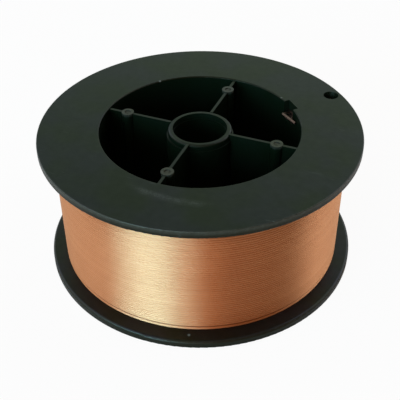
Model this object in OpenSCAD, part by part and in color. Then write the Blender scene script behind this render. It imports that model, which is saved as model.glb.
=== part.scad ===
// Welding wire spool: two moulded halves pinned together on one centreline, wound with wire.
// It stands on its lower flange, with the bore along Z and the ribs along X and Y.

/* [Spool] */
// Diameter across the flanges
flange_d = 100; // [96:0.5:110]
// Width over both flanges
spool_w = 45; // [34:0.5:60]
// Thickness of a flange where it meets the barrel
flange_t = 3.2; // [2.8:0.1:4]
// Thickness of a flange at its rim
rim_t = 2.7; // [2:0.1:3]
// Rounding of the rim's outer edge
rim_round = 0.3; // [0.1:0.1:0.6]
// Rounding of the rim's edge on the side of the wire
lip_round = 0.8; // [0.3:0.1:1]
// How far a flange stands out from the barrel
flange_depth = 17.4; // [15:0.2:20]
// Thickness of the barrel's wall
barrel_wall = 1.5; // [1.2:0.1:2.2]
// Fillet where the barrel meets a flange
root_fillet = 0.6; // [0.2:0.1:1]
// Rounding of the opening's edge
edge_round = 0.4; // [0.2:0.1:0.5]

/* [Hub] */
// Diameter of the bore for the machine's spindle
bore_d = 16.5; // [15:0.1:18]
// Thickness of the hub's wall at its mouth
hub_wall = 1.7; // [1.4:0.1:2.4]
// How much thicker the hub is below its mouth
hub_step = 0.4; // [0.2:0.1:1]
// Height of the thinner mouth
mouth_h = 2; // [0.8:0.1:3]
// How much wider the bore is in the mouth, on each side
mouth_relief = 0.2; // [0.1:0.05:0.4]
// Rounding of the mouth's outer edge
mouth_round = 0.8; // [0.2:0.1:0.9]
// How far the hub and ribs lie below the flange's face
recess = 0.5; // [0.4:0.1:1.5]

/* [Ribs and posts] */
// Thickness of a rib at its top
rib_t = 0.9; // [0.8:0.1:1.4]
// How much thicker a rib is at the joint, as a moulding's draft
rib_draft = 0.4; // [0:0.1:0.8]
// Distance of the posts' centres from the inside of the barrel
post_in = 6.3; // [5:0.1:12]
// Diameter of a post
post_d = 3.9; // [3.6:0.1:5]
// How far a post stands above its rib
post_proud = 0.2; // [0:0.1:0.4]
// Diameter of the dimple in a post's end
dimple_d = 2; // [1:0.1:2.4]
// Depth of that dimple
dimple_h = 0.3; // [0.1:0.1:0.6]
// Diameter of the pin that joins two posts
pin_d = 1.8; // [1.4:0.1:2]
// How far a pin reaches into the lower half
pin_l = 5; // [3:0.5:8]
// Clearance round a pin and at its tip
pin_gap = 0.1; // [0.05:0.05:0.2]

/* [Wire] */
// Diameter of the wire
wire_d = 0.8; // [0.6:0.1:1.2]
// How far the outer layer of wire lies below the rim
wound_below = 4.6; // [4:0.1:12]
// Room between the wound wire and the spool
wind_gap = 0.05; // [0.05:0.05:0.2]
// Diameter of the tie-off hole near the rim, at the flange's face
tie_hole_d = 4.8; // [3.4:0.1:5]
// Its diameter on the wire's side
tie_hole_foot_d = 3; // [2.4:0.1:3.4]
// Width of the flange between the tie-off hole and the rim
tie_hole_edge = 1.1; // [0.8:0.1:3]
// Width of the slot that the wire's first end comes through
slot_w = 5.8; // [4:0.1:8]
// Depth of that slot below the flange's face
slot_h = 6; // [5.5:0.5:14]
// How far the wire's first end reaches in from the barrel's outside
tail_in = 3.6; // [3:0.1:5]
// How far it rises on its way in
tail_rise = 1.9; // [0:0.1:2.4]
// Length of the part that is bent along the barrel
tail_run = 7; // [4:0.1:9]
// How far the wire's last end runs clear of the winding, on its way to the tie-off hole
hook_run = 6; // [4:0.5:10]
// How far below the flange's face it stops in the hole
hook_below = 1.6; // [0.2:0.1:2]

/* [Hidden] */

$fn = 96;
black = "#30352f";
copper = "#c07a4e";

rim_r = flange_d / 2;
mid_h = spool_w / 2;
barrel_r = rim_r - flange_depth;
opening_r = barrel_r - barrel_wall;
post_r = opening_r - post_in;
bore_r = bore_d / 2;
mouth_r = bore_r + mouth_relief;
collar_r = bore_r + hub_wall;
hub_r = collar_r + hub_step;
wound_r = rim_r - wound_below;
inner_r = barrel_r + wind_gap;
wire_r = wire_d / 2;
tie_hole_r = rim_r - tie_hole_edge - tie_hole_d / 2;
socket_d = pin_d + 2 * pin_gap;
socket_h = pin_l + pin_gap;

RIB_ANGLES = [0, 90, 180, 270];
slot_angle = 45;   // the slot and the tie-off hole lie midway between two ribs
slot_reach = 0.1;  // how far the slot runs past the barrel's outside
tail_lean = 2;     // how far the wire drifts sideways on its way in
tail_gap = 0.1;    // clearance between the wire's first end and the spool
bite = 0.3;        // how far one feature of a moulding runs into the next
over = 1;          // how far a cut runs past the surface that it opens

// Slope of a flange's inner face, which thins towards the rim
taper = (flange_t - rim_t) / (rim_r - lip_round - barrel_r);

// What rounds a convex corner at (x, y): the material lies on the side that dx and dy point to
module corner_cut(x, y, dx, dy, r) {
    difference() {
        translate([min(x - dx * over, x + dx * r), min(y - dy * over, y + dy * r)]) square(r + over);
        translate([x + dx * r, y + dy * r]) circle(r);
    }
}

// What fills a concave corner at (x, y), with the open space on the side that dx and dy point to
module corner_fill(x, y, dx, dy, r) {
    difference() {
        translate([min(x - dx * bite, x + dx * r), min(y - dy * bite, y + dy * r)]) square(r + bite);
        translate([x + dx * r, y + dy * r]) circle(r);
    }
}

// Section of one flange with its half of the barrel, standing on the flange's face
module flange_section() {
    difference() {
        polygon([
            [opening_r, 0], [rim_r, 0], [rim_r, rim_t], [rim_r - lip_round, rim_t],
            [barrel_r, flange_t], [barrel_r, mid_h], [opening_r, mid_h],
        ]);
        corner_cut(opening_r, 0, 1, 1, edge_round);
        corner_cut(rim_r, 0, -1, 1, rim_round);
        corner_cut(rim_r, rim_t, -1, -1, lip_round);
    }
    corner_fill(barrel_r, flange_t, 1, 1, root_fillet);
}

// Section of one half of the hub, with its thinner and wider mouth
module hub_section() {
    difference() {
        union() {
            translate([mouth_r, recess]) square([collar_r - mouth_r, mouth_h + bite]);
            translate([bore_r, recess + mouth_h]) square([hub_wall + hub_step, mid_h - recess - mouth_h]);
        }
        corner_cut(collar_r, recess, -1, 1, mouth_round);
    }
}

// One rib from the hub to the barrel, thicker towards the joint
module rib() {
    run = opening_r + bite - (hub_r - bite);
    translate([hub_r - bite, 0, 0]) rotate([90, 0, 90]) linear_extrude(run)
        polygon([
            [-rib_t / 2, recess], [rib_t / 2, recess],
            [(rib_t + rib_draft) / 2, mid_h], [-(rib_t + rib_draft) / 2, mid_h],
        ]);
    translate([collar_r - bite, 0, 0]) rotate([90, 0, 90]) linear_extrude(hub_r - collar_r + 2 * bite)
        translate([-rib_t / 2, recess]) square([rib_t, mouth_h + bite]);
}

// One post on its rib, with a shallow dimple in its end
module post() {
    translate([post_r, 0, recess - post_proud]) difference() {
        cylinder(h = mid_h - recess + post_proud, d = post_d);
        translate([0, 0, -over]) cylinder(h = over + dimple_h, d = dimple_d);
    }
}

// What both halves share, standing on the flange's face with the joint on top
module half_moulding() {
    rotate_extrude() flange_section();
    rotate_extrude() hub_section();
    for (a = RIB_ANGLES) rotate(a) {
        rib();
        post();
    }
}

// The slot that is open to the flange's face, for the wire's first end
module wire_slot() {
    rotate(slot_angle) translate([opening_r - over, -slot_w / 2, -over])
        cube([over + barrel_wall + slot_reach, slot_w, slot_h + over]);
}

// The hole near the rim that the wire's last end is hooked into, narrower on the wire's side
module tie_hole() {
    widening = (tie_hole_d - tie_hole_foot_d) / face_h(tie_hole_r) * over;
    rotate(slot_angle) translate([tie_hole_r, 0, -over])
        cylinder(h = face_h(tie_hole_r) + 2 * over, d1 = tie_hole_d + widening, d2 = tie_hole_foot_d - widening);
}

module lower_half() {
    color(black) difference() {
        half_moulding();
        for (a = RIB_ANGLES) rotate(a)
            translate([post_r, 0, mid_h - socket_h]) cylinder(h = socket_h + over, d = socket_d);
    }
}

module upper_half() {
    color(black) translate([0, 0, spool_w]) mirror([0, 0, 1]) {
        difference() {
            half_moulding();
            wire_slot();
            tie_hole();
        }
        for (a = RIB_ANGLES) rotate(a)
            translate([post_r, 0, mid_h - bite]) cylinder(h = pin_l + bite, d = pin_d);
    }
}

// Height of a flange's inner face at radius r
function face_h(r) = flange_t - (r - barrel_r) * taper;

// Section of the wound wire, from the barrel out to the last layer
module wound_section() {
    foot = root_fillet + wind_gap;
    low = face_h(inner_r) + wind_gap;
    top = face_h(wound_r) + wind_gap;
    difference() {
        polygon([
            [inner_r, low + foot], [inner_r + foot, low], [wound_r, top],
            [wound_r, spool_w - top], [inner_r + foot, spool_w - low], [inner_r, spool_w - low - foot],
        ]);
        corner_cut(wound_r, top, -1, 1, wire_r);
        corner_cut(wound_r, spool_w - top, -1, -1, wire_r);
    }
}

// A straight leg of wire from the origin, in the XY plane
module wire_leg(run, angle) {
    rotate([0, 90, angle]) cylinder(h = run, r = wire_r);
}

// Two legs of wire that meet at bend: one to flat, on the same level, and one to other
module bent_wire(flat, bend, other) {
    heading = atan2(flat[1] - bend[1], flat[0] - bend[0]);
    leg = other - bend;
    ahead = leg * [cos(heading), sin(heading), 0];
    aside = leg * [-sin(heading), cos(heading), 0];
    tilt = atan2(leg[2], aside);
    fold = atan2(norm([aside, leg[2]]), ahead);
    translate(bend) rotate(heading) rotate([tilt, 0, 0]) {
        wire_leg(norm(flat - bend), 0);
        sphere(wire_r);
        wire_leg(norm(leg), fold);
    }
}

// The wire's first end: in through the slot, then bent along the inside of the barrel
module wire_tail() {
    level = spool_w - flange_t - root_fillet - wire_d;
    enter = [inner_r + wire_d, slot_w / 2 - wire_r - tail_gap, level];
    bend = [barrel_r - tail_in, enter[1] - tail_lean, level + tail_rise];
    end_y = bend[1] - tail_run;
    end = [sqrt(pow(opening_r - wire_r - tail_gap, 2) - pow(end_y, 2)), end_y, bend[2]];
    rotate(slot_angle) bent_wire(end, bend, enter);
}

// The wire's last end: off the winding, then up into the tie-off hole
module wire_hook() {
    level = spool_w - face_h(wound_r) - wire_d;
    leave = [sqrt(pow(wound_r - wire_d, 2) - pow(hook_run, 2)), -hook_run, level];
    bend = [tie_hole_r, 0, level];
    rotate(slot_angle) bent_wire(leave, bend, [tie_hole_r, 0, spool_w - hook_below]);
}

module wound_wire() {
    color(copper) {
        rotate_extrude() wound_section();
        wire_tail();
        wire_hook();
    }
}

upper_half();
lower_half();
wound_wire();
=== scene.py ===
"""Looks of a small welding wire spool: its moulded plastic, its wound wire, the room and the camera.

Everything is in metres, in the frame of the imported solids. The spool stands on its lower flange,
with its bore along Z.
"""
import math

import bpy
from mathutils import Matrix, Vector

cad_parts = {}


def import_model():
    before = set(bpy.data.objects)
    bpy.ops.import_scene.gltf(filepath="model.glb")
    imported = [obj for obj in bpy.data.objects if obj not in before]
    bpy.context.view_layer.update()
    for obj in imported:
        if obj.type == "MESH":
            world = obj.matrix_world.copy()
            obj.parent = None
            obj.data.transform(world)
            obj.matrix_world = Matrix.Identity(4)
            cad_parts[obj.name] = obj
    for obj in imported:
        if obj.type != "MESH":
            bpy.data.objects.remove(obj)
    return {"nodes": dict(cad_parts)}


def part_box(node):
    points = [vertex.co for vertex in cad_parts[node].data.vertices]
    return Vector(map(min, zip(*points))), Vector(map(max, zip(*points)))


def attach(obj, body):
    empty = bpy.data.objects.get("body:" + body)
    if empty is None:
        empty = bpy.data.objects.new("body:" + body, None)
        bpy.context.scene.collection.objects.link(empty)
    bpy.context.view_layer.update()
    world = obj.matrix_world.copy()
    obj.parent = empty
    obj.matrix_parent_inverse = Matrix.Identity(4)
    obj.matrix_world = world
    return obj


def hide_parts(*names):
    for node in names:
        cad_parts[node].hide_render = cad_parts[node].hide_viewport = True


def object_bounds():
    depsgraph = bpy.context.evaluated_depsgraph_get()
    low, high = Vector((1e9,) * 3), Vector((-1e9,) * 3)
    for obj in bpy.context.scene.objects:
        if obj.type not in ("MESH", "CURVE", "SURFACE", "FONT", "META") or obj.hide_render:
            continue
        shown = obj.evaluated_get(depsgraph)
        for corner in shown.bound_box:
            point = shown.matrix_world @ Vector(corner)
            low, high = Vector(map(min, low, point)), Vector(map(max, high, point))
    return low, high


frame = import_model()
CAD_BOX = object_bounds()

MM = 0.001

# Driving sizes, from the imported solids
RING_LOW, RING_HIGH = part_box("wound_wire")
RIM_R = CAD_BOX[1].x
SPOOL_W = CAD_BOX[1].z
WOUND_R = RING_HIGH.x
RING_FOOT = RING_LOW.z

# Sizes of the plastic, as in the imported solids. The slot and the tie-off hole lie at the same angle.
OPENING_R = 31.1 * MM
OPENING_LIP = 0.45 * MM
POST_R = 24.8 * MM
POST_D = 3.9 * MM
HOLE_R = 46.5 * MM
HOLE_D = 4.8 * MM
SLOT_ANGLE = 45

# The wire, its inner radius on the barrel, and the turns, drawn a little fuller so that they close up
WIRE_D = 0.8 * MM
WIRE_R = WIRE_D / 2
INNER_R = 32.65 * MM
TURN_R = 0.44 * MM
LAYER_R = WOUND_R - TURN_R
STEPS_PER_TURN = 96

# The outer layer: where, and over which share of a turn, each turn crosses to the next, and the open gaps
CROSS_ANGLE = 112
CROSS_SHARE = 0.1
FOOT_GAP = 0.5 * MM
UPPER_GAP = 0.14 * MM
UPPER_GAP_TURN = 44
LEVEL_SLACK = 0.02 * MM

# How the outer layer's first turn comes up from below: depths in wire diameters, and degrees for each one
DIVE_DEPTHS = (0.85, 0.5, 0.2)
DIVE_DEGREES = 14

# The layers below it, and the half turns on their inside, as angles round the wire
INNER_TUCK = 0.3 * WIRE_D
INNER_FOOT = 0.5 * MM
HALF_TURN = (90, 45, 0, -45)
RING_STEPS = 144

# The wire's last end: its straight run to the tie-off hole, its top and its bend
HOOK_RUN = 6 * MM
HOOK_TOP = SPOOL_W - 1.6 * MM
HOOK_BEND = 0.9 * MM

# The wire's first end: its height in the slot, its rise, its bend, and its places beside the slot's middle
TAIL_LEVEL = 40.4 * MM
TAIL_RISE = 1.9 * MM
TAIL_BEND_R = 29.0 * MM
TAIL_BEND = 0.7 * MM
TAIL_CLEARANCE = 0.1 * MM
TAIL_ENTRY_SIDE = 2.4 * MM
TAIL_BEND_SIDE = 0.4 * MM
TAIL_END_SIDE = -6.6 * MM

# Where most of a noise's values lie, and the soft edge of a mark. A scale is a noise's fineness in waves
# for each metre, alike in all directions or along each axis.
NOISE_LOW = 0.3
NOISE_HIGH = 0.7
EDGE_BLUR = 0.05 * MM

# The upward part of a face's normal, from where the face starts to count as level to where it fully does
LEVEL_NORMALS = (0.5, 0.9)

# The plastic's own colour, in faint blotches
BLACK_TONES = [(0.3, (0.0010, 0.0030, 0.0009)), (0.7, (0.0020, 0.0040, 0.0020))]
BLOTCH_SCALE = 75

# Its gloss, the lower gloss that paints shade into the inner walls and the tie-off hole, and the tints of
# its reflections on level faces and on the others, where a warm tint is painted to offset the window's blue
# light
PLASTIC_GLOSS = 0.25
PAINTED_SHADE_GLOSS = 0.05
GLOSS_SPREAD = (0.92, 1.08)
GLOSS_SCALE = 450
LEVEL_TINTS = [(0.38, (0.94, 1.03, 0.70)), (0.62, (1.03, 0.99, 1.12))]
PAINTED_WARM_SIDE_TINT = (1.0, 0.82, 0.54)
TINT_SCALE = 70

# Its surface: a fine grain over low waves
GRAIN_SCALE = 2600
WAVE_SCALE = 500
WAVE_SHARE = 0.8
PLASTIC_ROUGHNESS = (0.34, 0.44)
PLASTIC_BUMP = 0.25
PLASTIC_BUMP_DEPTH = 0.04 * MM

# Painted reflection of the copper on the lower flange: heights over the wire's foot, from full to none, and
# its share at the rim
COPPER_REFLECTION_COLOUR = (0.0055, 0.0022, 0.0008)
COPPER_REFLECTION_HEIGHTS = (0.5 * MM, 1.0 * MM)
COPPER_REFLECTION_AT_RIM = 0.4
COPPER_REFLECTION_SPREAD = (0.6, 1.2)
COPPER_REFLECTION_SCALE = 160

# Rubbed places: depths below the upper flange's face and insets from the rim, each from none to full
RUBBED_COLOUR = (0.027, 0.026, 0.018)
POST_DEPTHS = (1.2 * MM, 1.0 * MM)
RIM_DEPTHS = (1.5 * MM, 0.7 * MM)
RIM_INSETS = (0.4 * MM, 0.15 * MM)
RIM_WEAR = 0.7
WEAR_SPREAD = (0.5, 1.3)
WEAR_SCALE = 900

# The scuffed line on the upper flange: its distance from the axis, which grows along X, and its extent.
# Its specks and breaks grow from their least to full as their noise passes through these ranges.
SCUFF_COLOUR = (0.080, 0.085, 0.070)
SCUFF_R = 36.4 * MM
SCUFF_SLOPE = 0.132
SCUFF_CORE = 0.1 * MM
SCUFF_WIDTH = 1.7 * MM
SCUFF_MIDDLE = 5 * MM
SCUFF_HALF = 14 * MM
SCUFF_FADE = 9 * MM
SCUFF_FRONT = 10 * MM
SCUFF_STRENGTH = 0.8
SCUFF_ROUGHNESS = 0.15
SPECK_RANGE = (0.42, 0.66)
SPECK_SCALE = 2600
BREAK_RANGE = (0.4, 0.6)
BREAK_STRENGTHS = (0.35, 1.0)
BREAK_SCALE = 330

# Thin streaks, turned about Z, and the patches in which they lie, with ranges of the same kind
STREAK_RANGE = (0.62, 0.78)
STREAK_SCALES = (160, 1500, 900)
STREAK_TURN = 0.5
PATCH_RANGE = (0.52, 0.68)
PATCH_SCALE = 45

# Light ticks on the opening's edge and on the lower flange: distance from the axis, degrees, height, size
TICKS = [
    (31.4 * MM, 137.5, SPOOL_W, 0.5 * MM),
    (31.5 * MM, 54.5, SPOOL_W, 0.4 * MM),
    (47.4 * MM, 287.7, 2.75 * MM, 0.55 * MM),
]

# The copper's colours from turn to turn and in patches, and the painted shade on the wire nearest the
# barrel: its colour, and the depths of wire on the barrel over which it fades from full to none
COPPER_TONES = [(0.34, (0.54, 0.232, 0.098)), (0.5, (0.57, 0.255, 0.110)), (0.66, (0.60, 0.278, 0.122))]
PAINTED_SHADE_COPPER = (0.14, 0.095, 0.07)
PAINTED_SHADE_DEPTHS = (0.7 * MM, 1.0 * MM)
TONE_SCALES = (9, 9, 900)
TARNISH_SCALE = 60
TARNISH_SHARE = 0.4

# The drawing marks along the copper
MARK_SCALES = (50, 50, 9000)
COPPER_ROUGHNESS = (0.42, 0.48)
COPPER_BUMP = 0.08
COPPER_BUMP_DEPTH = 0.02 * MM

# The photograph's camera, found by fitting the spool's circles
VIEW_AZIMUTH = 22.4
VIEW_ELEVATION = 38.3
VIEW_ROLL = -0.59
VIEW_DISTANCE = 264.4 * MM
AIM_ACROSS = -0.21 * MM
AIM_UP = 12.6 * MM
LENS = 68.98
SENSOR = 36
NEAREST = 0.01

# The room around the spool: degrees to the right of the camera, and brightness
PALE_WALL = (1.50, 1.65, 1.85)
BACK_WALL = (0.62, 0.77, 0.62)
WARM_WALL = (1.20, 1.00, 0.95)
LAMPLIT_WALL = (1.70, 1.07, 0.78)
BROWN_WALL = (0.58, 0.30, 0.19)
DARK_WALL = (0.30, 0.15, 0.045)
ROOM = [
    (-180, BACK_WALL),
    (-158, (0.40, 0.52, 0.46)),
    (-128, PALE_WALL),
    (-67, (1.80, 1.85, 2.10)),
    (-54, WARM_WALL),
    (-40, (0.85, 0.84, 0.92)),
    (-26, WARM_WALL),
    (-12, LAMPLIT_WALL),
    (21, BROWN_WALL),
    (72, DARK_WALL),
    (92, (1.80, 1.90, 2.15)),
    (136, PALE_WALL),
    (160, BACK_WALL),
    (180, BACK_WALL),
]
CEILING = (0.30, 0.26, 0.22)
WALL_TOP = 50
CEILING_EDGE = 75

# The window: its brightness across its width, with a sharp left edge, its colour and its upper edge
WINDOW = [
    (-65.5, 0.0),
    (-64, 0.24),
    (-56, 0.46),
    (-47, 0.88),
    (-40, 1.0),
    (-30, 1.0),
    (-14, 0.37),
    (3, 0.0),
]
WINDOW_LIGHT = (7.0, 15.5, 23.0)
WINDOW_TOP = 26
WINDOW_BLUR = 0.06

# The floor: its own colour near the spool, and how much of it is plain white farther out
WHITE = (1, 1, 1)
FLOOR_COLOUR = (0.62, 0.56, 0.50)
FLOOR_HALF = 3.0
FLOOR_DROP = 0.02 * MM
FLOOR_WHITENESS = 0.94
FLOOR_SEEN_FROM = 0.97 * RIM_R
FLOOR_MIRRORED_FROM = 6 * RIM_R


def polar(radius, degrees, z):
    a = math.radians(degrees)
    return Vector((radius * math.cos(a), radius * math.sin(a), z))


def in_slot_frame(x, y, z):
    """A point given along and across the radius on which the slot and the tie-off hole lie."""
    return Matrix.Rotation(math.radians(SLOT_ANGLE), 3, "Z") @ Vector((x, y, z))


def smooth(t):
    t = min(max(t, 0), 1)
    return t * t * (3 - 2 * t)


def opaque(colour):
    return (*colour, 1)


class Nodes:
    """Short calls for building one node tree."""

    def __init__(self, tree):
        self.tree = tree
        tree.nodes.clear()

    def add(self, kind, values=(), **settings):
        node = self.tree.nodes.new(kind)
        for name, value in settings.items():
            setattr(node, name, value)
        for socket, value in dict(values).items():
            if isinstance(value, bpy.types.NodeSocket):
                self.tree.links.new(value, node.inputs[socket])
            else:
                node.inputs[socket].default_value = value
        return node

    def math(self, operation, a, b=0.0):
        return self.add("ShaderNodeMath", {0: a, 1: b}, operation=operation).outputs[0]

    def product(self, first, *others):
        for other in others:
            first = self.math("MULTIPLY", first, other)
        return first

    def rest(self, share):
        return self.math("SUBTRACT", 1.0, share)

    def length(self, vector):
        return self.add("ShaderNodeVectorMath", {0: vector}, operation="LENGTH").outputs["Value"]

    def distance(self, a, b):
        return self.add("ShaderNodeVectorMath", {0: a, 1: b}, operation="DISTANCE").outputs["Value"]

    def parts(self, vector):
        return self.add("ShaderNodeSeparateXYZ", {0: vector}).outputs

    def flat(self, x, y):
        return self.add("ShaderNodeCombineXYZ", {"X": x, "Y": y}).outputs[0]

    def stretched(self, vector, scale, turn=0.0):
        """A place turned about Z and scaled along each axis."""
        values = {"Vector": vector, "Rotation": (0, 0, turn), "Scale": scale}
        return self.add("ShaderNodeMapping", values).outputs[0]

    def noise(self, vector, scale, detail=3.0, roughness=0.5):
        values = {"Vector": vector, "Scale": scale, "Detail": detail, "Roughness": roughness}
        return self.add("ShaderNodeTexNoise", values).outputs["Fac"]

    def bump(self, height, strength, depth):
        values = {"Height": height, "Strength": strength, "Distance": depth}
        return self.add("ShaderNodeBump", values).outputs[0]

    def remap(self, value, low, high, to_low=0.0, to_high=1.0):
        values = {"Value": value, "From Min": low, "From Max": high, "To Min": to_low, "To Max": to_high}
        return self.add("ShaderNodeMapRange", values, clamp=True).outputs["Result"]

    def spread(self, noise, low, high):
        """A noise's usual range, spread between two values."""
        return self.remap(noise, NOISE_LOW, NOISE_HIGH, low, high)

    def ramp(self, fac, stops):
        node = self.add("ShaderNodeValToRGB", {"Fac": fac})
        elements = node.color_ramp.elements
        while len(elements) < len(stops):
            elements.new(0.5)
        for element, (at, colour) in zip(elements, stops):
            element.position = at
            element.color = opaque(colour)
        return node.outputs["Color"]

    def blend(self, share, a, b):
        """Two colours mixed: the first where the share is 0, the second where it is 1."""
        a, b = [c if isinstance(c, bpy.types.NodeSocket) else opaque(c) for c in (a, b)]
        return self.add("ShaderNodeMix", {"Factor": share, 6: a, 7: b}, data_type="RGBA").outputs[2]


class Spot:
    """Where a shaded point lies on the spool, its distance from the bore's axis, and the way it faces."""

    def __init__(self, n):
        coordinates = n.add("ShaderNodeTexCoord").outputs
        self.place = coordinates["Object"]
        self.facing = coordinates["Normal"]
        parts = n.parts(self.place)
        self.x = parts["X"]
        self.y = parts["Y"]
        self.z = parts["Z"]
        self.flat = n.flat(self.x, self.y)
        self.radius = n.length(self.flat)


def new_material(name):
    material = bpy.data.materials.new(name)
    material.use_nodes = True
    return material, Nodes(material.node_tree)


def painted_copper_reflection(n, spot, up):
    """Share of the painted reflection of the copper: on the lower flange, strongest at the wire's foot."""
    low = n.remap(spot.z, *[RING_FOOT + height for height in COPPER_REFLECTION_HEIGHTS], 1.0, 0.0)
    outward = n.remap(spot.radius, WOUND_R, RIM_R, 1.0, COPPER_REFLECTION_AT_RIM)
    uneven = n.spread(n.noise(spot.place, COPPER_REFLECTION_SCALE), *COPPER_REFLECTION_SPREAD)
    return n.product(up, low, outward, uneven)


def rubbing(n, spot):
    """Share of rubbed plastic: the four posts' ends and the rim's upper edge."""
    sideways = n.add("ShaderNodeVectorMath", {0: spot.flat}, operation="ABSOLUTE").outputs[0]
    side = n.parts(sideways)
    folded = n.flat(n.math("MAXIMUM", side["X"], side["Y"]), n.math("MINIMUM", side["X"], side["Y"]))
    from_post = n.distance(folded, (POST_R, 0, 0))
    post = n.remap(from_post, POST_D / 2 - EDGE_BLUR, POST_D / 2 + EDGE_BLUR, 1.0, 0.0)
    post = n.product(post, n.remap(spot.z, *[SPOOL_W - depth for depth in POST_DEPTHS]))
    rim = n.remap(spot.radius, *[RIM_R - inset for inset in RIM_INSETS])
    rim = n.product(rim, n.remap(spot.z, *[SPOOL_W - depth for depth in RIM_DEPTHS]))
    worn = n.math("MAXIMUM", post, n.product(rim, RIM_WEAR))
    return n.product(worn, n.spread(n.noise(spot.place, WEAR_SCALE, roughness=0.7), *WEAR_SPREAD))


def scuffed_line(n, spot, up):
    """Share of the broken line of scuffs on the upper flange."""
    arc = n.math("ADD", n.product(spot.x, SCUFF_SLOPE), SCUFF_R)
    off_arc = n.math("ABSOLUTE", n.math("SUBTRACT", spot.radius, arc))
    off_middle = n.math("ABSOLUTE", n.math("SUBTRACT", spot.x, SCUFF_MIDDLE))
    band = n.remap(off_arc, SCUFF_CORE, SCUFF_WIDTH, 1.0, 0.0)
    front = n.remap(spot.y, 0.0, -SCUFF_FRONT)
    ends = n.remap(off_middle, SCUFF_HALF - SCUFF_FADE, SCUFF_HALF, 1.0, 0.0)
    specks = n.remap(n.noise(spot.place, SPECK_SCALE, roughness=0.7), *SPECK_RANGE)
    breaks = n.remap(n.noise(spot.place, BREAK_SCALE, detail=2), *BREAK_RANGE, *BREAK_STRENGTHS)
    return n.product(band, front, ends, specks, breaks, up)


def streaks(n, spot, inside):
    """Share of the thin streaks, in patches everywhere outside the opening."""
    along = n.stretched(spot.place, STREAK_SCALES, STREAK_TURN)
    thin = n.remap(n.noise(along, 1, roughness=0.7), *STREAK_RANGE)
    patches = n.remap(n.noise(spot.place, PATCH_SCALE, detail=2), *PATCH_RANGE)
    return n.product(thin, patches, n.rest(inside))


def light_ticks(n, spot):
    """Share of the small light ticks."""
    ticks = 0.0
    for distance, angle, level, size in TICKS:
        away = n.distance(spot.place, polar(distance, angle, level))
        ticks = n.math("MAXIMUM", ticks, n.remap(away, size / 2, size, 1.0, 0.0))
    return ticks


def moulded_plastic():
    """Black moulded plastic: faint blotches, a fine grain, rubbed posts and rim, and light scuffs."""
    material, n = new_material("moulded_plastic")
    spot = Spot(n)
    up = n.remap(n.parts(spot.facing)["Z"], *LEVEL_NORMALS)
    inside = n.remap(spot.radius, OPENING_R, OPENING_R + OPENING_LIP, 1.0, 0.0)

    # Colour: each layer lies over the one before
    scuffs = n.math("MAXIMUM", scuffed_line(n, spot, up), streaks(n, spot, inside))
    scuffs = n.math("MAXIMUM", n.product(scuffs, SCUFF_STRENGTH), light_ticks(n, spot))
    colour = n.ramp(n.noise(spot.place, BLOTCH_SCALE, detail=4, roughness=0.6), BLACK_TONES)
    # A reddish-brown painted reflection of the copper, on the lower flange at the wire's foot
    colour = n.blend(painted_copper_reflection(n, spot, up), colour, COPPER_REFLECTION_COLOUR)
    colour = n.blend(rubbing(n, spot), colour, RUBBED_COLOUR)
    colour = n.blend(scuffs, colour, SCUFF_COLOUR)

    # Gloss, with painted shade: the inner walls and the tie-off hole lose most of their gloss, so that they
    # stay dark
    from_hole = n.distance(spot.flat, polar(HOLE_R, SLOT_ANGLE, 0))
    hole = n.remap(from_hole, HOLE_D / 2 - EDGE_BLUR, HOLE_D / 2 + 2 * EDGE_BLUR, 1.0, 0.0)
    painted_shade = n.math("MAXIMUM", n.product(inside, n.rest(up)), hole)
    gloss = n.remap(painted_shade, 0.0, 1.0, PLASTIC_GLOSS, PAINTED_SHADE_GLOSS)
    gloss = n.product(gloss, n.spread(n.noise(spot.place, GLOSS_SCALE), *GLOSS_SPREAD))
    # On faces that are not level, the reflections get a painted warm tint, which offsets the window's blue
    # light
    tint = n.blend(up, PAINTED_WARM_SIDE_TINT, n.ramp(n.noise(spot.place, TINT_SCALE, detail=2), LEVEL_TINTS))

    # Surface
    grain = n.noise(spot.place, GRAIN_SCALE, detail=2, roughness=0.6)
    waves = n.product(n.noise(spot.place, WAVE_SCALE), WAVE_SHARE)
    shader = n.add("ShaderNodeBsdfPrincipled", {
        "Base Color": colour,
        "Roughness": n.math("ADD", n.spread(grain, *PLASTIC_ROUGHNESS), n.product(scuffs, SCUFF_ROUGHNESS)),
        "Specular IOR Level": gloss,
        "Specular Tint": tint,
        "Normal": n.bump(n.math("ADD", grain, waves), PLASTIC_BUMP, PLASTIC_BUMP_DEPTH),
    })
    n.add("ShaderNodeOutputMaterial", {"Surface": shader.outputs[0]})
    return material


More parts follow.
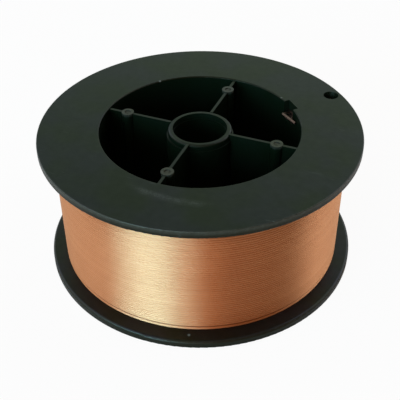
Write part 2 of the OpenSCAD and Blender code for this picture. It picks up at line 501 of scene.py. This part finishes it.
def coppered_wire():
    """Copper-coated wire: drawing marks along it that spread its gloss across, a little tarnish, and
    painted shade on the wire nearest the barrel.
    """
    material, n = new_material("coppered_wire")
    spot = Spot(n)
    by_turn = n.noise(n.stretched(spot.place, TONE_SCALES), 1, roughness=0.6)
    tarnish = n.noise(spot.place, TARNISH_SCALE, detail=4, roughness=0.6)
    tone = n.math("ADD", n.product(by_turn, 1 - TARNISH_SHARE), n.product(tarnish, TARNISH_SHARE))
    # Painted shade: the wire nearest the barrel, that is the first end and the inside of the first layer,
    # is darkened
    painted_shade = n.remap(spot.radius, *[INNER_R + depth for depth in PAINTED_SHADE_DEPTHS], 1.0, 0.0)
    marks = n.noise(n.stretched(spot.place, MARK_SCALES), 1, detail=2, roughness=0.6)
    along = n.add("ShaderNodeTangent", direction_type="RADIAL", axis="Z")
    shader = n.add("ShaderNodeBsdfPrincipled", {
        "Base Color": n.blend(painted_shade, n.ramp(tone, COPPER_TONES), PAINTED_SHADE_COPPER),
        "Metallic": 1.0,
        "Roughness": n.spread(marks, *COPPER_ROUGHNESS),
        "Anisotropic": 1.0,
        "Anisotropic Rotation": 0.25,
        "Tangent": along.outputs[0],
        "Normal": n.bump(marks, COPPER_BUMP, COPPER_BUMP_DEPTH),
    })
    n.add("ShaderNodeOutputMaterial", {"Surface": shader.outputs[0]})
    return material


def turn_levels():
    """Heights of the outer layer's turns, from the foot up, with the gaps that the winding left."""
    gaps = {1: FOOT_GAP, UPPER_GAP_TURN: UPPER_GAP}
    levels = []
    z = RING_FOOT + WIRE_R
    top = SPOOL_W - RING_FOOT - WIRE_R
    while z <= top + LEVEL_SLACK:
        levels.append(z)
        z += WIRE_D + gaps.get(len(levels), 0)
    return levels


def outer_layer():
    """Path of the outer layer: level turns that cross over to the next one at the back."""
    levels = turn_levels()
    start = CROSS_ANGLE + 180 * CROSS_SHARE
    leave = 360 + SLOT_ANGLE - math.degrees(HOOK_RUN / LAYER_R)
    last = len(levels) - 1 + (leave - start) / 360
    path = [polar(LAYER_R - d * WIRE_D, start - DIVE_DEGREES * d, levels[0]) for d in DIVE_DEPTHS]
    count = round(last * STEPS_PER_TURN)
    for i in range(count + 1):
        t = last * i / count
        turn = min(int(t), len(levels) - 1)
        share = smooth((t - turn - (1 - CROSS_SHARE)) / CROSS_SHARE)
        above = levels[min(turn + 1, len(levels) - 1)]
        path.append(polar(LAYER_R, start + 360 * t, levels[turn] + share * (above - levels[turn])))
    return path


def rounded(points, radius, steps=5):
    """The points of a route, with each inner corner replaced by a short curve."""
    path = [points[0]]
    for before, corner, after in zip(points, points[1:], points[2:]):
        a = corner + (before - corner).normalized() * radius
        b = corner + (after - corner).normalized() * radius
        for i in range(steps + 1):
            t = i / steps
            path.append(a * (1 - t) ** 2 + corner * 2 * t * (1 - t) + b * t ** 2)
    return path + [points[-1]]


def hook_path():
    """The wire's last end: off the top turn, then up into the tie-off hole."""
    level = turn_levels()[-1]
    leave = in_slot_frame(math.sqrt(LAYER_R ** 2 - HOOK_RUN ** 2), -HOOK_RUN, level)
    under = in_slot_frame(HOLE_R, 0, level)
    return rounded([leave, under, Vector((under.x, under.y, HOOK_TOP))], HOOK_BEND)


def tail_path():
    """The wire's first end: in through the slot, then bent along the inside of the barrel."""
    end_r = OPENING_R - WIRE_R - TAIL_CLEARANCE
    end_x = math.sqrt(end_r ** 2 - TAIL_END_SIDE ** 2)
    enter = in_slot_frame(INNER_R + WIRE_D, TAIL_ENTRY_SIDE, TAIL_LEVEL)
    bend = in_slot_frame(TAIL_BEND_R, TAIL_BEND_SIDE, TAIL_LEVEL + TAIL_RISE)
    end = in_slot_frame(end_x, TAIL_END_SIDE, TAIL_LEVEL + TAIL_RISE)
    return rounded([enter, bend, end], TAIL_BEND)


def strand(name, paths, radius, material):
    """Round wire along one or more paths."""
    curve = bpy.data.curves.new(name, "CURVE")
    curve.dimensions = "3D"
    curve.bevel_depth = radius
    curve.bevel_resolution = 3
    curve.use_fill_caps = True
    curve.twist_mode = "Z_UP"
    for path in paths:
        spline = curve.splines.new("POLY")
        spline.points.add(len(path) - 1)
        for point, co in zip(spline.points, path):
            point.co = (*co, 1)
        spline.use_smooth = True
    curve.materials.append(material)
    piece = bpy.data.objects.new(name, curve)
    bpy.context.scene.collection.objects.link(piece)
    return piece


def turned(name, profile, material):
    """A closed ring: the profile's (radius, height) points turned about Z."""
    vertices = []
    faces = []
    count = len(profile)
    for i in range(RING_STEPS):
        vertices += [polar(r, 360 * i / RING_STEPS, z) for r, z in profile]
        for j in range(count):
            k = (j + 1) % count
            there = (i + 1) % RING_STEPS * count
            faces.append((i * count + j, there + j, there + k, i * count + k))
    mesh = bpy.data.meshes.new(name)
    mesh.from_pydata(vertices, [], faces)
    mesh.polygons.foreach_set("use_smooth", [True] * len(faces))
    mesh.materials.append(material)
    mesh.update()
    piece = bpy.data.objects.new(name, mesh)
    bpy.context.scene.collection.objects.link(piece)
    return piece


def inner_layers(material):
    """The wire below the outer layer, with the first layer's turns on its inside."""
    outside = LAYER_R - INNER_TUCK
    foot = RING_FOOT + INNER_FOOT
    top = SPOOL_W - foot
    profile = [(outside, foot), (outside, top)]
    turns = int((top - foot) / WIRE_D)
    for turn in range(turns):
        centre = top - (turn + 0.5) * WIRE_D
        for angle in HALF_TURN:
            a = math.radians(angle)
            profile.append((INNER_R + WIRE_R - WIRE_R * math.cos(a), centre + WIRE_R * math.sin(a)))
    profile.append((INNER_R + WIRE_R, top - turns * WIRE_D))
    return turned("inner_layers", profile, material)


def floor():
    """A pale matte floor. Seen by the camera, or mirrored from farther out, it is almost plain white."""
    material, n = new_material("white_floor")
    ray = n.add("ShaderNodeLightPath").outputs
    away = n.length(n.add("ShaderNodeNewGeometry").outputs["Position"])
    mirrored = n.math("MAXIMUM", ray["Is Glossy Ray"], ray["Is Transmission Ray"])
    in_view = n.product(ray["Is Camera Ray"], n.remap(away, FLOOR_SEEN_FROM, RIM_R))
    in_gloss = n.product(mirrored, n.remap(away, RIM_R, FLOOR_MIRRORED_FROM))
    share = n.product(n.math("MAXIMUM", in_view, in_gloss), FLOOR_WHITENESS)
    matte = n.add("ShaderNodeBsdfDiffuse", {"Color": opaque(FLOOR_COLOUR)})
    white = n.add("ShaderNodeEmission", {"Color": opaque(WHITE), "Strength": 1.0})
    mix = n.add("ShaderNodeMixShader", {0: share, 1: matte.outputs[0], 2: white.outputs[0]})
    n.add("ShaderNodeOutputMaterial", {"Surface": mix.outputs[0]})
    corners = [(x * FLOOR_HALF, y * FLOOR_HALF, 0) for x, y in ((-1, -1), (1, -1), (1, 1), (-1, 1))]
    mesh = bpy.data.meshes.new("floor")
    mesh.from_pydata(corners, [], [(0, 1, 2, 3)])
    mesh.materials.append(material)
    piece = bpy.data.objects.new("floor", mesh)
    piece.location.z = -FLOOR_DROP
    bpy.context.scene.collection.objects.link(piece)


def world():
    """The room: a bright window at the camera's left, dark at its right, pale walls farther round."""
    scene_world = bpy.data.worlds.new("room")
    scene_world.use_nodes = True
    n = Nodes(scene_world.node_tree)
    parts = n.parts(n.add("ShaderNodeTexCoord").outputs["Generated"])

    # Share of a full turn, counted from behind the spool as the camera sees it
    turn = n.math("ARCTAN2", parts["X"], n.math("MULTIPLY", parts["Y"], -1.0))
    share = n.math("ADD", n.math("DIVIDE", turn, math.tau), 0.5 - VIEW_AZIMUTH / 360)
    across = n.math("FRACT", share)
    walls = n.ramp(across, [((a + 180) / 360, colour) for a, colour in ROOM])
    pane = n.ramp(across, [((a + 180) / 360, (level, level, level)) for a, level in WINDOW])

    window_top = math.sin(math.radians(WINDOW_TOP))
    below = n.remap(parts["Z"], window_top - WINDOW_BLUR, window_top + WINDOW_BLUR, 1.0, 0.0)
    overhead = n.remap(parts["Z"], *[math.sin(math.radians(a)) for a in (WALL_TOP, CEILING_EDGE)])
    light = n.blend(overhead, walls, CEILING)
    light = n.blend(n.product(pane, below), light, WINDOW_LIGHT)
    light = n.blend(n.add("ShaderNodeLightPath").outputs["Is Camera Ray"], light, WHITE)
    background = n.add("ShaderNodeBackground", {"Color": light, "Strength": 1.0})
    n.add("ShaderNodeOutputWorld", {"Surface": background.outputs[0]})
    bpy.context.scene.world = scene_world


def camera():
    """The camera at the photograph's angle."""
    a = math.radians(VIEW_AZIMUTH)
    e = math.radians(VIEW_ELEVATION)
    back = Vector((math.sin(a) * math.cos(e), -math.cos(a) * math.cos(e), math.sin(e)))
    right = Vector((math.cos(a), math.sin(a), 0))
    up = back.cross(right)
    location = back * VIEW_DISTANCE + right * AIM_ACROSS + up * AIM_UP
    roll = math.radians(VIEW_ROLL)
    side = right * math.cos(roll) + up * math.sin(roll)
    top = up * math.cos(roll) - right * math.sin(roll)
    data = bpy.data.cameras.new("camera")
    data.sensor_width = SENSOR
    data.lens = LENS
    data.clip_start = NEAREST
    piece = bpy.data.objects.new("camera", data)
    piece.matrix_world = Matrix.Translation(location) @ Matrix((side, top, back)).transposed().to_4x4()
    bpy.context.scene.collection.objects.link(piece)
    bpy.context.scene.camera = piece


plastic = moulded_plastic()
copper = coppered_wire()
for node in ("upper_half", "lower_half"):
    data = frame["nodes"][node].data
    data.materials.clear()
    data.materials.append(plastic)

layers = inner_layers(copper)
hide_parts("wound_wire")
turns = strand("wound_turns", [outer_layer()], TURN_R, copper)
ends = strand("wire_ends", [tail_path(), hook_path()], WIRE_R, copper)
for piece in (layers, turns, ends):
    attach(piece, "root")

floor()
world()
camera()
bpy.context.scene.view_settings.view_transform = "Standard"
